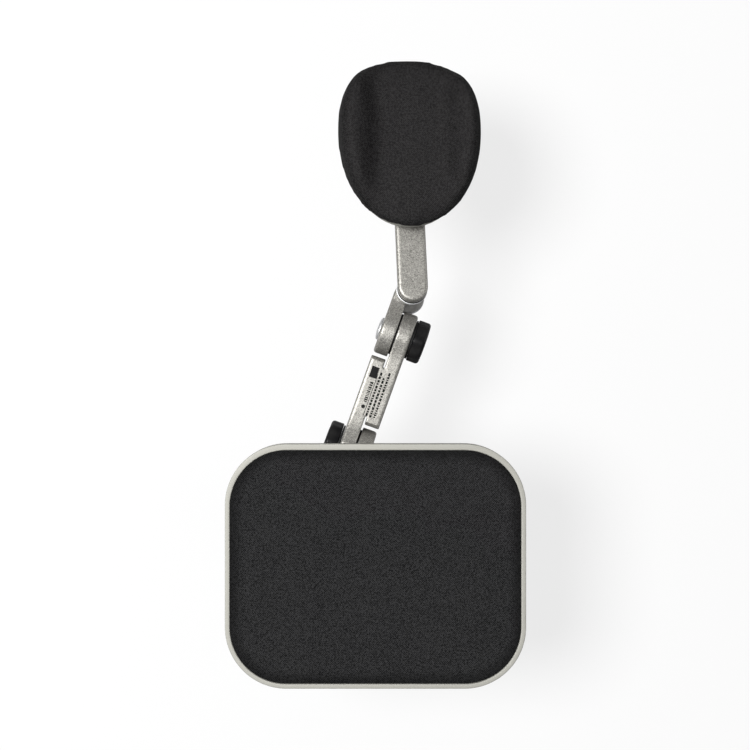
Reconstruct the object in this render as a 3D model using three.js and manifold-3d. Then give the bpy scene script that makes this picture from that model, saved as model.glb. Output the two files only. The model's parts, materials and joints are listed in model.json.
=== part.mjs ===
// Clamp-on forearm rest with a mouse platform on an articulated arm. Millimetres, +Z up.
// The origin is on the swivel post's axis, on the desk top under the clamp's upper jaw.
// The desk lies towards -Y and the arm reaches towards +Y.
import * as THREE from 'three';
import { mergeVertices } from 'three/addons/utils/BufferGeometryUtils.js';
import Module from 'manifold-3d';

const wasm = await Module();
wasm.setup();

// ---- driving dimensions ----

const gap = 0.3; // between neighbouring pieces
const washerThickness = 1.2;
const degree = Math.PI / 180;

const clamp = {
  width: 48, jawThickness: 8, deskPad: 2, frontReach: 30, backReach: 27, spineThickness: 10,
  throat: 50, lowerJaw: 10, cornerRadius: 10, fillet: 5, edge: 1.5, deskThickness: 22,
};
const screw = { y: -8, radius: 5, insertRadius: 8, bossRadius: 11, bossDrop: 7, length: 64 };
const foot = { radius: 18, plate: 4.5, pad: 2, collarRadius: 8.5, collarDrop: 4, ballRadius: 5.2 };
const handle = { radius: 17, height: 15, lobes: 6, lobeDepth: 2.2, edge: 3 };
const post = { radius: 6, flangeRadius: 14, flangeHeight: 5.6, screwRadius: 2.8, screwHead: 5.5 };
const bore = post.radius + gap;

const arm = {
  azimuth: 19.7, pivotHeight: 32, halfWidth: 13, slot: 0.75, eyeRadius: 20.2, edge: 2,
  reach: 36, bossRadius: 12.5, bossHalf: 14,
};
const link = { length: 102.5, waist: 13.5, shoulder: 23, shoulderRadius: 6, slotDepth: 7 };
const bolt = { radius: 4, headRadius: 9.5, headHeight: 2.8, threadInKnob: 9 };
const knob = {
  radius: 17.7, height: 10.4, edge: 4, lobes: 8, lobeDepth: 1.1,
  ringRadius: 16.6, ringHeight: 1.4, insertRadius: 7, faceRadius: 11, faceHeight: 1,
};
const upperPitch = 10; // the upper knuckle's far end hangs this much below the level
const swivelRing = { radius: 12.8, height: 3.4, bottomRadius: 13.4, bottomHeight: 2.4 };
const bar = { turn: 21.7, halfWidth: 12.3, thickness: 10, length: 111.5, edge: 2.2, blindDepth: 6 };
const pad = {
  turn: -2.5, halfWidth: 58.2, farLength: 62, nearLength: 80, farPower: 2.4, nearPower: 2.1,
  widestAt: 13.5,
  hubRadius: 20, hubHeight: 6, tray: 6, trayInset: 0.9, trayEdge: 1.6,
  base: 12, lip: 15, crest: 0.8, valley: 0.42, roundOver: 0.16,
};
const padBolt = { radius: 4, headRadius: 7.5, headHeight: 3.5, intoHub: 4 };

const platform = {
  centre: [29.7, -56.1], width: 240, depth: 195, cornerRadius: 49, height: 11.7, floor: 2.5,
  wall: 3.5, edge: 1.1, core: 5, mat: 2.8, matClearance: 0.5,
  plateRadius: 30, plate: 3, screwCircle: 22,
};
const carrier = { hubRadius: 15, endRadius: 17, halfWidth: 12, thickness: 7.4, top: 60.4, edge: 1.2 };
const trayScrew = { radius: 1.7, headRadius: 3.2, headHeight: 1.6, length: 6 };

// ---- finishes ----

const finish = (color, roughness, metalness) => () =>
  new THREE.MeshStandardMaterial({ color, roughness, metalness });
const silverCasting = finish(0xa3a29b, 0.45, 0.7);
const satinAluminium = finish(0xc4c4b8, 0.35, 0.85);
const zincSteel = finish(0xb9bbbf, 0.3, 1);
const brass = finish(0xb08d4a, 0.35, 1);
const blackPlastic = finish(0x17171a, 0.5, 0);
const blackNylon = finish(0x202022, 0.6, 0);
const blackRubber = finish(0x1b1b1c, 0.85, 0);
const blackFabric = finish(0x252528, 0.95, 0);
const darkBoard = finish(0x2c2b2a, 0.8, 0);

// ---- shape helpers ----

// Turns the faces of a closed surface outwards and leaves only its positions.
function closedSurface(geometry) {
  geometry.deleteAttribute('normal');
  geometry.deleteAttribute('uv');
  const merged = mergeVertices(geometry, 1e-4);
  const { array: at } = merged.getAttribute('position');
  const triangles = [];
  let volume = 0;
  for (let i = 0; i < merged.index.count; i += 3) {
    const [a, b, c] = [0, 1, 2].map((k) => merged.index.getX(i + k));
    if (a === b || b === c || c === a) continue;
    triangles.push(a, b, c);
    const [p, q, r] = [a, b, c].map((v) => new THREE.Vector3().fromArray(at, 3 * v));
    volume += p.dot(q.cross(r));
  }
  merged.setIndex(volume < 0 ? triangles.reverse() : triangles);
  return merged;
}

function toSolid(geometry) {
  const surface = closedSurface(geometry);
  const vertProperties = new Float32Array(surface.getAttribute('position').array);
  const triVerts = new Uint32Array(surface.index.array);
  return new wasm.Manifold(new wasm.Mesh({ numProp: 3, vertProperties, triVerts }));
}

function toGeometry(solid) {
  const { vertProperties, triVerts } = solid.getMesh();
  const geometry = new THREE.BufferGeometry();
  geometry.setAttribute('position', new THREE.BufferAttribute(vertProperties, 3));
  geometry.setIndex(new THREE.BufferAttribute(triVerts, 1));
  return geometry;
}

const carve = (geometry, ...tools) =>
  toGeometry(tools.reduce((solid, tool) => solid.subtract(toSolid(tool)), toSolid(geometry)));
const join = (first, ...rest) =>
  toGeometry(rest.reduce((solid, other) => solid.add(toSolid(other)), toSolid(first)));
const common = (a, b) => toGeometry(toSolid(a).intersect(toSolid(b)));

// A turned solid about the Z axis from a list of [radius, height].
function turned(profile, segments = 28) {
  const points = profile.map(([radius, z]) => new THREE.Vector2(radius, z));
  return closedSurface(new THREE.LatheGeometry(points, segments).rotateX(Math.PI / 2));
}

const disc = (radius, low, high, edge = 0, segments = 28) =>
  turned(edge > 0
    ? [[0, low], [radius - edge, low], [radius, low + edge],
      [radius, high - edge], [radius - edge, high], [0, high]]
    : [[0, low], [radius, low], [radius, high], [0, high]], segments);

const ring = (inner, outer, low, high, segments = 28) =>
  turned([[inner, low], [outer, low], [outer, high], [inner, high], [inner, low]], segments);

// A flat outline raised from low to high, its edges rounded within its own size.
function upright(outline, low, high, edge = 0, curveSegments = 8) {
  const geometry = new THREE.ExtrudeGeometry(outline, {
    depth: high - low - 2 * edge, curveSegments, bevelEnabled: edge > 0,
    bevelThickness: edge, bevelSize: edge, bevelOffset: -edge, bevelSegments: 2,
  });
  return geometry.translate(0, 0, low + edge);
}

// The same along X, from an outline drawn in Y and Z.
function sideways(outline, low, high, edge = 0, curveSegments = 8) {
  const [x, y, z] = [[1, 0, 0], [0, 1, 0], [0, 0, 1]].map((axis) => new THREE.Vector3(...axis));
  return upright(outline, low, high, edge, curveSegments)
    .applyMatrix4(new THREE.Matrix4().makeBasis(y, z, x));
}

// A turned solid laid along X, its low end towards -X.
const alongX = (geometry) => geometry.rotateY(Math.PI / 2);

function roundedRectangle(width, depth, radius) {
  const [x, y] = [width / 2 - radius, depth / 2 - radius];
  const outline = new THREE.Shape();
  outline.absarc(x, y, radius, 0, 90 * degree);
  outline.absarc(-x, y, radius, 90 * degree, 180 * degree);
  outline.absarc(-x, -y, radius, 180 * degree, 270 * degree);
  outline.absarc(x, -y, radius, 270 * degree, 360 * degree);
  return outline;
}

function stadium(halfWidth, fromY, toY) {
  const outline = new THREE.Shape();
  outline.absarc(0, fromY, halfWidth, 180 * degree, 360 * degree);
  outline.absarc(0, toY, halfWidth, 0, 180 * degree);
  return outline;
}

// A round outline with shallow hollows for the fingers.
function lobed(radius, lobes, depth, points = 48) {
  const outline = [];
  for (let i = 0; i < points; i += 1) {
    const angle = (i / points) * 2 * Math.PI;
    const r = radius - depth * (0.5 - 0.5 * Math.cos(lobes * angle)) ** 2;
    outline.push(new THREE.Vector2(r * Math.cos(angle), r * Math.sin(angle)));
  }
  return new THREE.Shape(outline);
}

function piece(name, geometry, material) {
  const mesh = new THREE.Mesh(closedSurface(geometry), material());
  mesh.name = name;
  return mesh;
}

function group(position, ...children) {
  const made = new THREE.Group();
  made.position.set(...position);
  made.add(...children.flat());
  return made;
}

// ---- clamp ----

const jawLow = clamp.deskPad + gap;
const jawTop = jawLow + clamp.jawThickness;
const lowerJawTop = -clamp.throat;
const lowerJawLow = lowerJawTop - clamp.lowerJaw;
const padTop = -clamp.deskThickness;

function clampFrame() {
  const [front, back] = [-clamp.frontReach, clamp.backReach];
  const inner = back - clamp.spineThickness;
  const { fillet } = clamp;
  const side = new THREE.Shape();
  side.moveTo(front, jawLow);
  side.lineTo(front, jawTop);
  side.lineTo(back - clamp.cornerRadius / 2, jawTop);
  side.lineTo(back, jawTop - clamp.cornerRadius / 2);
  side.lineTo(back, lowerJawLow + clamp.cornerRadius);
  side.absarc(back - clamp.cornerRadius, lowerJawLow + clamp.cornerRadius, clamp.cornerRadius,
    0, -90 * degree, true);
  side.lineTo(front + 4, lowerJawLow);
  side.lineTo(front + 4, lowerJawTop);
  side.absarc(inner - fillet, lowerJawTop + fillet, fillet, -90 * degree, 0);
  side.absarc(inner - fillet, jawLow - fillet, fillet, 0, 90 * degree);
  const body = sideways(side, -clamp.width / 2, clamp.width / 2, clamp.edge, 8);

  const length = clamp.frontReach + clamp.backReach + 2;
  const plan = roundedRectangle(clamp.width, length, clamp.cornerRadius);
  const trimmed = common(body, upright(plan, lowerJawLow - 1, jawTop + 1)
    .translate(0, 1 + (clamp.backReach - clamp.frontReach) / 2, 0));
  const boss = disc(screw.bossRadius, lowerJawLow - screw.bossDrop, lowerJawLow + 1, 1, 20)
    .translate(0, screw.y, 0);
  return carve(
    join(trimmed, boss),
    disc(screw.insertRadius + gap, lowerJawLow - screw.bossDrop - 1, lowerJawTop + 1, 0, 20)
      .translate(0, screw.y, 0),
    turned([[0, jawLow - 1], [post.screwHead + gap, jawLow - 1],
      [post.screwHead + gap, jawLow + 3], [post.screwRadius + gap, jawLow + 3],
      [post.screwRadius + gap, jawTop + 1], [0, jawTop + 1]], 20),
  );
}

// The pad covers the upper jaw's underside up to the spine's fillet.
function deskPad() {
  const front = 3 - clamp.frontReach;
  const back = clamp.backReach - clamp.spineThickness - clamp.fillet - 0.5;
  return upright(roundedRectangle(clamp.width - 6, back - front, 6), 0, clamp.deskPad)
    .translate(0, (front + back) / 2, 0);
}

const threadInsert = () => ring(screw.radius + gap, screw.insertRadius,
  lowerJawLow - screw.bossDrop, lowerJawTop, 20).translate(0, screw.y, 0);

const flangeTop = jawTop + gap + post.flangeHeight;
const postTop = carrier.top + gap;

// The post has a foot flange and a blind bore for the screw that holds it down.
const basePost = () => turned([
  [post.screwRadius + gap, jawTop + gap], [post.flangeRadius - 1, jawTop + gap],
  [post.flangeRadius, jawTop + gap + 1], [post.flangeRadius, flangeTop - 1],
  [post.flangeRadius - 1, flangeTop], [post.radius, flangeTop], [post.radius, postTop],
  [post.screwRadius + gap, postTop], [post.screwRadius + gap, postTop - 12], [0, postTop - 12],
  [0, jawTop + 16], [post.screwRadius + gap, jawTop + 16], [post.screwRadius + gap, jawTop + gap],
]);

const postScrew = () => turned([
  [0, jawLow + gap], [post.screwHead, jawLow + gap], [post.screwHead, jawLow + 3 - gap],
  [post.screwRadius, jawLow + 3 - gap], [post.screwRadius, jawTop + 15], [0, jawTop + 15],
], 20);

const postCapScrew = () => turned([
  [0, postTop - 11], [post.screwRadius, postTop - 11], [post.screwRadius, postTop + gap],
  [10, postTop + gap], [10, postTop + 1.8], [9, postTop + 2.8], [0, postTop + 2.8],
], 20);

// ---- clamp foot and screw ----

const plateLow = padTop - foot.pad - gap - foot.plate;
const ballTop = plateLow + 1.5;

const pressurePad = () => disc(foot.radius - 1, padTop - foot.pad, padTop)
  .translate(0, screw.y, 0);

// The plate's collar hangs round the ball on the screw's tip.
const pressurePlate = () => {
  const socket = foot.ballRadius + gap;
  return turned([
    [0, ballTop + gap], [socket, ballTop + gap], [socket, plateLow - foot.collarDrop],
    [foot.collarRadius, plateLow - foot.collarDrop], [foot.collarRadius, plateLow],
    [foot.radius - 1, plateLow], [foot.radius, plateLow + 1],
    [foot.radius, plateLow + foot.plate], [0, plateLow + foot.plate],
  ]).translate(0, screw.y, 0);
};

const screwLow = ballTop - screw.length;

const clampScrew = () => turned([
  [0, screwLow], [screw.radius, screwLow], [screw.radius, ballTop - 7.5],
  [3.4, ballTop - 6.5], [3.4, ballTop - 5], [foot.ballRadius, ballTop - 3.5],
  [foot.ballRadius, ballTop - 1.5], [3.5, ballTop], [0, ballTop],
], 20).translate(0, screw.y, 0);

function clampHandle() {
  const top = screwLow + handle.height - 4;
  const body = upright(lobed(handle.radius, handle.lobes, handle.lobeDepth),
    top - handle.height, top, handle.edge);
  const neck = disc(9, top - 1, top + 4, 1, 20);
  const hole = disc(screw.radius + gap, screwLow - gap, top + 5, 0, 20);
  return carve(join(body, neck), hole).translate(0, screw.y, 0);
}

// ---- arm ----

// The knuckle's pivot eye is at its own origin. Its lap is on the -X side, and its swivel boss
// stands round an axis along Z at y = arm.reach.
function knuckle() {
  const { eyeRadius, reach, bossRadius, bossHalf, halfWidth, slot } = arm;
  const [cornerY, cornerZ] = [reach - bossRadius, bossHalf];
  const toCorner = Math.atan2(cornerZ, cornerY);
  const tangent = toCorner + Math.acos(eyeRadius / Math.hypot(cornerY, cornerZ));
  const side = new THREE.Shape();
  side.absarc(0, 0, eyeRadius, tangent, 2 * Math.PI - tangent);
  side.lineTo(cornerY, -bossHalf);
  side.lineTo(reach + bossRadius + 1, -bossHalf);
  side.lineTo(reach + bossRadius + 1, bossHalf);
  side.lineTo(cornerY, bossHalf);

  const meet = -Math.PI / 2 - Math.asin(slot / bossRadius);
  const plan = new THREE.Shape();
  plan.moveTo(-halfWidth, -eyeRadius - 1);
  plan.lineTo(-slot, -eyeRadius - 1);
  plan.absarc(0, reach, bossRadius, meet, Math.PI);
  plan.lineTo(-halfWidth, reach - 8);

  const casting = common(
    sideways(side, -halfWidth, halfWidth, arm.edge, 14),
    upright(plan, -eyeRadius - 1, eyeRadius + 1, 0, 12),
  );
  return carve(
    casting,
    alongX(disc(bolt.radius + gap, -halfWidth - 1, halfWidth + 1, 0, 20)),
    disc(bore, -bossHalf - 1, bossHalf + 1).translate(0, reach, 0),
  );
}

// The link's lower lap is on the -X side and its upper lap on the +X side.
function middleLink() {
  const { eyeRadius, halfWidth, slot } = arm;
  const { length, waist, shoulder, shoulderRadius, slotDepth } = link;
  const leave = 62 * degree;
  const [leaveY, leaveZ] = [eyeRadius * Math.cos(leave), eyeRadius * Math.sin(leave)];
  const side = new THREE.Shape();
  side.absarc(0, 0, eyeRadius, leave, 2 * Math.PI - leave);
  side.bezierCurveTo(leaveY + 14, -leaveZ + 6, length / 3, -waist, length / 2, -waist);
  side.bezierCurveTo((2 * length) / 3, -waist, length - leaveY - 14, -leaveZ + 6,
    length - leaveY, -leaveZ);
  side.absarc(length, 0, eyeRadius, leave - Math.PI, Math.PI - leave);
  side.bezierCurveTo(length - leaveY - 14, leaveZ - 6, (2 * length) / 3, waist, length / 2, waist);
  side.bezierCurveTo(length / 3, waist, leaveY + 14, leaveZ - 6, leaveY, leaveZ);
  const body = sideways(side, -halfWidth, halfWidth, arm.edge, 8);

  // What leaves the lower end's right half, with the shoulder's edges rounded. The upper
  // end's left half is the same, turned half round about the link's middle.
  const edgeHeight = waist + 1;
  const far = 40;
  const notchSide = new THREE.Shape();
  notchSide.moveTo(-far, -far);
  notchSide.lineTo(shoulder + shoulderRadius, -far);
  notchSide.lineTo(shoulder + shoulderRadius, -edgeHeight);
  notchSide.absarc(shoulder + shoulderRadius, shoulderRadius - edgeHeight, shoulderRadius,
    -90 * degree, 180 * degree, true);
  notchSide.absarc(shoulder + shoulderRadius, edgeHeight - shoulderRadius, shoulderRadius,
    180 * degree, 90 * degree, true);
  notchSide.lineTo(shoulder + shoulderRadius, far);
  notchSide.lineTo(-far, far);
  const notch = () => sideways(notchSide, -slot, halfWidth + 1, 0, 6);
  const slotEnd = shoulder + slotDepth;
  const slotCut = () => new THREE.BoxGeometry(2 * slot, slotEnd, 2 * far)
    .translate(0, slotEnd / 2, 0);
  const atUpperEnd = (geometry) => geometry.rotateZ(Math.PI).translate(0, length, 0);
  const hole = () => alongX(disc(bolt.radius + gap, -halfWidth - 1, halfWidth + 1, 0, 20));
  return carve(body, notch(), slotCut(), hole(),
    atUpperEnd(notch()), atUpperEnd(slotCut()), atUpperEnd(hole()));
}

const lapWasher = () => alongX(ring(bolt.radius + gap, arm.eyeRadius - 0.6, gap - arm.slot,
  arm.slot - gap));

// The bolt's domed head is on the -X side and its thread ends in the knob on the +X side.
function pivotBolt() {
  const seat = -arm.halfWidth - gap;
  const { radius, headRadius, headHeight } = bolt;
  const dome = [0, 0.25, 0.5, 0.75, 1].map((t) =>
    [headRadius * Math.sin(t * 90 * degree),
      seat - 0.8 - (headHeight - 0.8) * Math.cos(t * 90 * degree)]);
  const end = arm.halfWidth + bolt.threadInKnob;
  return alongX(turned([...dome, [headRadius, seat], [radius, seat], [radius, end], [0, end]], 20));
}

const knobSeat = arm.halfWidth + gap;
const knobLow = knobSeat + knob.ringHeight + gap;
const knobTop = knobLow + knob.height;

const knobRing = () => alongX(ring(bolt.radius + gap, knob.ringRadius, knobSeat,
  knobSeat + knob.ringHeight));

const knobInsert = () => alongX(ring(bolt.radius + gap, knob.insertRadius, knobLow + 0.4,
  knobLow + 7, 20));

const knobFace = () => alongX(disc(knob.faceRadius, knobTop - knob.faceHeight + gap,
  knobTop + gap, 0.4));

function knobBody() {
  const outline = lobed(knob.radius, knob.lobes, knob.lobeDepth);
  const body = upright(outline, knobLow, knobTop + knob.edge, knob.edge);
  const trim = disc(knob.radius + 1, knobTop, knobTop + 10);
  const faceSeat = disc(knob.faceRadius + gap, knobTop - knob.faceHeight, knobTop + 1);
  const insertSeat = disc(knob.insertRadius + gap, knobLow - 1, knobLow + 7 + gap, 0, 20);
  return alongX(carve(body, trim, faceSeat, insertSeat));
}

const lockKnob = (name) => [
  piece(`${name}_knob`, knobBody(), blackPlastic),
  piece(`${name}_knob_face`, knobFace(), blackPlastic),
  piece(`${name}_knob_insert`, knobInsert(), brass),
];

// ---- swivel between the upper knuckle and the bar, about its own Z axis ----

const swivelLow = arm.bossHalf + gap;
const swivelRingLow = swivelLow + washerThickness + gap;
const swivelHigh = swivelRingLow + swivelRing.height + gap;
const barLow = swivelHigh + washerThickness + gap;
const barTop = barLow + bar.thickness;

const swivelWasher = (low) => ring(bore, arm.bossRadius - 0.2, low, low + washerThickness);
const swivelSpacer = () => ring(bore, swivelRing.radius, swivelRingLow,
  swivelRingLow + swivelRing.height);
const swivelBottomRing = () => ring(bore, swivelRing.bottomRadius,
  -arm.bossHalf - gap - swivelRing.bottomHeight, -arm.bossHalf - gap);

function swivelBolt() {
  const seat = -arm.bossHalf - 2 * gap - swivelRing.bottomHeight;
  const end = barLow + bar.blindDepth - gap;
  return turned([[0, seat - 4], [8, seat - 4], [9, seat - 3], [9, seat],
    [post.radius, seat], [post.radius, end], [0, end]]);
}

// ---- bar ----

function topBar() {
  const body = upright(stadium(bar.halfWidth, 0, bar.length), barLow, barTop, bar.edge, 12);
  const swivelHole = disc(bore, barLow - 1, barLow + bar.blindDepth);
  const padHole = disc(padBolt.radius + gap, barLow - 1, barTop + 1, 0, 20)
    .translate(0, bar.length, 0);
  return carve(body, swivelHole, padHole);
}

// ---- forearm pad, about the axis of its own bolt ----

const hubLow = barTop + 2 * gap + washerThickness;
const hubTop = hubLow + pad.hubHeight;
const padTrayLow = hubTop + gap;
const padTrayTop = padTrayLow + pad.tray;
const cushionLow = padTrayTop + gap;

// The egg outline's point at an angle, with the rounder end towards +Y.
function eggPoint(angle, scale = 1) {
  const [c, s] = [Math.cos(angle), Math.sin(angle)];
  const power = s > 0 ? pad.farPower : pad.nearPower;
  const length = s > 0 ? pad.farLength : pad.nearLength;
  const bend = (v) => Math.sign(v) * Math.abs(v) ** (2 / power);
  return new THREE.Vector2(scale * pad.halfWidth * bend(c), scale * length * bend(s));
}

function eggOutline(inset, points = 56) {
  const scale = 1 - inset / pad.halfWidth;
  const outline = [];
  for (let i = 0; i < points; i += 1) {
    const point = eggPoint((i / points) * 2 * Math.PI, scale);
    outline.push(new THREE.Vector2(point.x, point.y + pad.widestAt));
  }
  return new THREE.Shape(outline);
}

const padWasher = () =>
  ring(padBolt.radius + gap, 13, barTop + gap, barTop + gap + washerThickness);

function padHub() {
  const blind = hubLow + padBolt.intoHub;
  const [r, edge] = [padBolt.radius + gap, pad.hubRadius];
  return turned([[r, hubLow], [14, hubLow], [edge, hubLow + 3], [edge, hubTop],
    [0, hubTop], [0, blind], [r, blind], [r, hubLow]]);
}

function padPivotBolt() {
  const seat = barLow - gap;
  const { radius, headRadius, headHeight, intoHub } = padBolt;
  return turned([[0, seat - headHeight], [headRadius - 1, seat - headHeight],
    [headRadius, seat - headHeight + 1], [headRadius, seat], [radius, seat],
    [radius, hubLow + intoHub - gap], [0, hubLow + intoHub - gap]], 20);
}

const padTray = () => upright(eggOutline(pad.trayInset), padTrayLow, padTrayTop, pad.trayEdge);

// The cushion's crown: a round outer edge, a raised lip on either side and a long hollow
// between the lips for the forearm.
function crownHeight(x, fraction) {
  const across = Math.abs(x) / pad.halfWidth;
  const climb = THREE.MathUtils.smoothstep(across, pad.valley, pad.crest);
  const overEdge = THREE.MathUtils.clamp((1 - fraction) / pad.roundOver, 0, 1);
  const edge = Math.sqrt(1 - (1 - overEdge) ** 2);
  return 4 + (pad.base - 4 + pad.lip * climb) * edge;
}

function padCushion() {
  const turns = 56;
  const fractions = [0.15, 0.35, 0.55, 0.7, 0.82, 0.9, 0.96, 1];
  const points = [[0, 0, pad.base]];
  for (const fraction of fractions) {
    for (let i = 0; i < turns; i += 1) {
      const { x, y } = eggPoint((i / turns) * 2 * Math.PI, fraction);
      points.push([x, y, crownHeight(x, fraction)]);
    }
  }
  const rimStart = points.length - turns;
  for (let i = 0; i < turns; i += 1) {
    const { x, y } = eggPoint((i / turns) * 2 * Math.PI, 0.97);
    points.push([x, y, 0]);
  }
  const bottomStart = rimStart + turns;
  const bottomMiddle = points.push([0, 0, 0]) - 1;
  const faces = [];
  const band = (low, high) => {
    for (let i = 0; i < turns; i += 1) {
      const j = (i + 1) % turns;
      faces.push(low + i, low + j, high + j, low + i, high + j, high + i);
    }
  };
  for (let i = 0; i < turns; i += 1) {
    const j = (i + 1) % turns;
    faces.push(0, 1 + i, 1 + j);
    faces.push(bottomMiddle, bottomStart + j, bottomStart + i);
  }
  for (let k = 1; k < fractions.length; k += 1) band(1 + k * turns, 1 + (k - 1) * turns);
  band(bottomStart, rimStart);
  const geometry = new THREE.BufferGeometry();
  geometry.setAttribute('position', new THREE.Float32BufferAttribute(points.flat(), 3));
  geometry.setIndex(faces);
  return geometry.translate(0, pad.widestAt, cushionLow);
}

// ---- mouse platform, about the axis of its own pivot screw ----

const plateBottom = carrier.top + 2 * gap + washerThickness;
const trayLow = plateBottom + platform.plate + gap;
const trayFloorTop = trayLow + platform.floor;
const coreLow = trayFloorTop + gap;
const matLow = coreLow + platform.core + gap;

// From the post's hub to the platform's pivot, along the line that joins them.
function carrierArm() {
  const [x, y] = platform.centre;
  const length = Math.hypot(x, y);
  const heading = Math.atan2(-x, y);
  const low = carrier.top - carrier.thickness;
  const hubBottom = arm.pivotHeight + arm.bossHalf + 2 * gap + washerThickness;
  const body = join(
    upright(stadium(carrier.halfWidth, 0, length), low, carrier.top, carrier.edge),
    disc(carrier.endRadius, low, carrier.top, carrier.edge).translate(0, length, 0),
    disc(carrier.hubRadius, hubBottom, carrier.top, carrier.edge),
  );
  const hole = disc(trayPivotRadius + gap, low - 1, carrier.top + 1, 0, 20).translate(0, length, 0);
  const headSeat = disc(8.3, low - 1, low + 3, 0, 20).translate(0, length, 0);
  const postHole = disc(bore, hubBottom - 1, carrier.top + 1);
  return carve(body, hole, headSeat, postHole).rotateZ(heading);
}

const trayPivotRadius = 4;

function trayPivotScrew() {
  const low = carrier.top - carrier.thickness;
  const end = plateBottom + platform.plate - 0.8;
  return turned([[0, low], [8, low], [8, low + 3 - gap], [trayPivotRadius, low + 3 - gap],
    [trayPivotRadius, end], [0, end]], 20);
}

const trayWasher = () => ring(trayPivotRadius + gap, 15, carrier.top + gap,
  carrier.top + gap + washerThickness);

const screwPlaces = [45, 135, 225, 315].map((angle) => [
  platform.screwCircle * Math.cos(angle * degree),
  platform.screwCircle * Math.sin(angle * degree),
  0,
]);

function mountPlate() {
  const top = plateBottom + platform.plate;
  const pivotHole = disc(trayPivotRadius + gap, plateBottom - 1, top - 0.5, 0, 20);
  const screwHoles = screwPlaces.flatMap((place) => [
    disc(trayScrew.radius + gap, plateBottom - 1, top + 1, 0, 12).translate(...place),
    disc(trayScrew.headRadius + gap, plateBottom - 1,
      plateBottom + trayScrew.headHeight + gap, 0, 14).translate(...place),
  ]);
  return carve(disc(platform.plateRadius, plateBottom, top, 0.8, 36), pivotHole, ...screwHoles);
}

const countersunkScrew = () => turned([
  [0, plateBottom], [trayScrew.headRadius, plateBottom],
  [trayScrew.headRadius, plateBottom + trayScrew.headHeight],
  [trayScrew.radius, plateBottom + trayScrew.headHeight],
  [trayScrew.radius, plateBottom + trayScrew.length], [0, plateBottom + trayScrew.length],
], 12);

function platformTray() {
  const { width, depth, cornerRadius, height, wall, edge } = platform;
  const body = upright(roundedRectangle(width, depth, cornerRadius), trayLow, trayLow + height, edge);
  const well = upright(roundedRectangle(width - 2 * wall, depth - 2 * wall, cornerRadius - wall),
    trayFloorTop, trayLow + height + 1);
  const screwHoles = screwPlaces.map((place) =>
    disc(trayScrew.radius + gap, trayLow - 1, trayFloorTop + 1, 0, 12).translate(...place));
  return carve(body, well, ...screwHoles);
}

function platformBoard(low, high, clearance, edge) {
  const { width, depth, cornerRadius, wall } = platform;
  const inset = 2 * (wall + clearance);
  return upright(roundedRectangle(width - inset, depth - inset, cornerRadius - wall - clearance),
    low, high, edge);
}

function platformCore() {
  const sockets = screwPlaces.map((place) =>
    disc(trayScrew.radius + gap, coreLow - 1, plateBottom + trayScrew.length + gap, 0, 12)
      .translate(...place));
  return carve(platformBoard(coreLow, coreLow + platform.core, 0.5, 0), ...sockets);
}

// ---- the assembly ----

const upperKnuckleGroup = () => {
  const padGroup = group([0, bar.length, 0],
    piece('pad_pivot_bolt', padPivotBolt(), zincSteel),
    piece('pad_washer', padWasher(), blackNylon),
    piece('pad_hub', padHub(), blackPlastic),
    piece('pad_tray', padTray(), satinAluminium),
    piece('pad_cushion', padCushion(), blackFabric));
  padGroup.rotation.z = pad.turn * degree;
  const barGroup = group([0, 0, 0], piece('top_bar', topBar(), silverCasting), padGroup);
  barGroup.rotation.z = bar.turn * degree;
  const swivel = group([0, arm.reach, 0],
    piece('swivel_bottom_ring', swivelBottomRing(), zincSteel),
    piece('swivel_bolt', swivelBolt(), zincSteel),
    piece('swivel_lower_washer', swivelWasher(swivelLow), blackNylon),
    piece('swivel_ring', swivelSpacer(), zincSteel),
    piece('swivel_upper_washer', swivelWasher(swivelHigh), blackNylon),
    barGroup);
  const made = group([0, arm.reach + link.length, arm.pivotHeight],
    piece('upper_knuckle', knuckle(), silverCasting),
    piece('upper_pivot_bolt', pivotBolt(), zincSteel),
    swivel);
  made.rotation.x = -upperPitch * degree;
  return made;
};

const lowerKnuckleGroup = () => {
  const made = group([0, arm.reach, arm.pivotHeight],
    piece('lower_knuckle', knuckle(), silverCasting),
    piece('lower_pivot_bolt', pivotBolt(), zincSteel));
  made.rotation.z = Math.PI;
  return made;
};

const lowerKnobs = group([0, arm.reach, arm.pivotHeight],
  piece('lower_knob_ring', knobRing(), blackNylon), ...lockKnob('lower'));
lowerKnobs.rotation.z = Math.PI;

const armGroup = group([0, 0, 0],
  lowerKnuckleGroup(),
  group([0, arm.reach, arm.pivotHeight],
    piece('lower_lap_washer', lapWasher(), blackNylon),
    piece('middle_link', middleLink(), silverCasting)),
  lowerKnobs,
  group([0, arm.reach + link.length, arm.pivotHeight],
    piece('upper_lap_washer', lapWasher(), blackNylon),
    piece('upper_knob_ring', knobRing(), blackNylon), ...lockKnob('upper')),
  upperKnuckleGroup());
armGroup.rotation.z = -arm.azimuth * degree;

const bossLow = arm.pivotHeight - arm.bossHalf;
const bossTop = arm.pivotHeight + arm.bossHalf;

const clampGroup = group([0, 0, 0],
  piece('clamp_frame', clampFrame(), silverCasting),
  piece('desk_pad', deskPad(), blackRubber),
  piece('thread_insert', threadInsert(), brass),
  piece('base_post', basePost(), zincSteel),
  piece('post_screw', postScrew(), zincSteel),
  piece('post_cap_screw', postCapScrew(), zincSteel),
  piece('base_washer', ring(bore, 12, bossLow - gap - washerThickness, bossLow - gap), blackNylon),
  piece('carrier_washer', ring(bore, 12, bossTop + gap, bossTop + gap + washerThickness),
    blackNylon),
  piece('pressure_pad', pressurePad(), blackRubber),
  piece('pressure_plate', pressurePlate(), zincSteel),
  piece('clamp_screw', clampScrew(), zincSteel),
  piece('clamp_handle', clampHandle(), blackPlastic));

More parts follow.
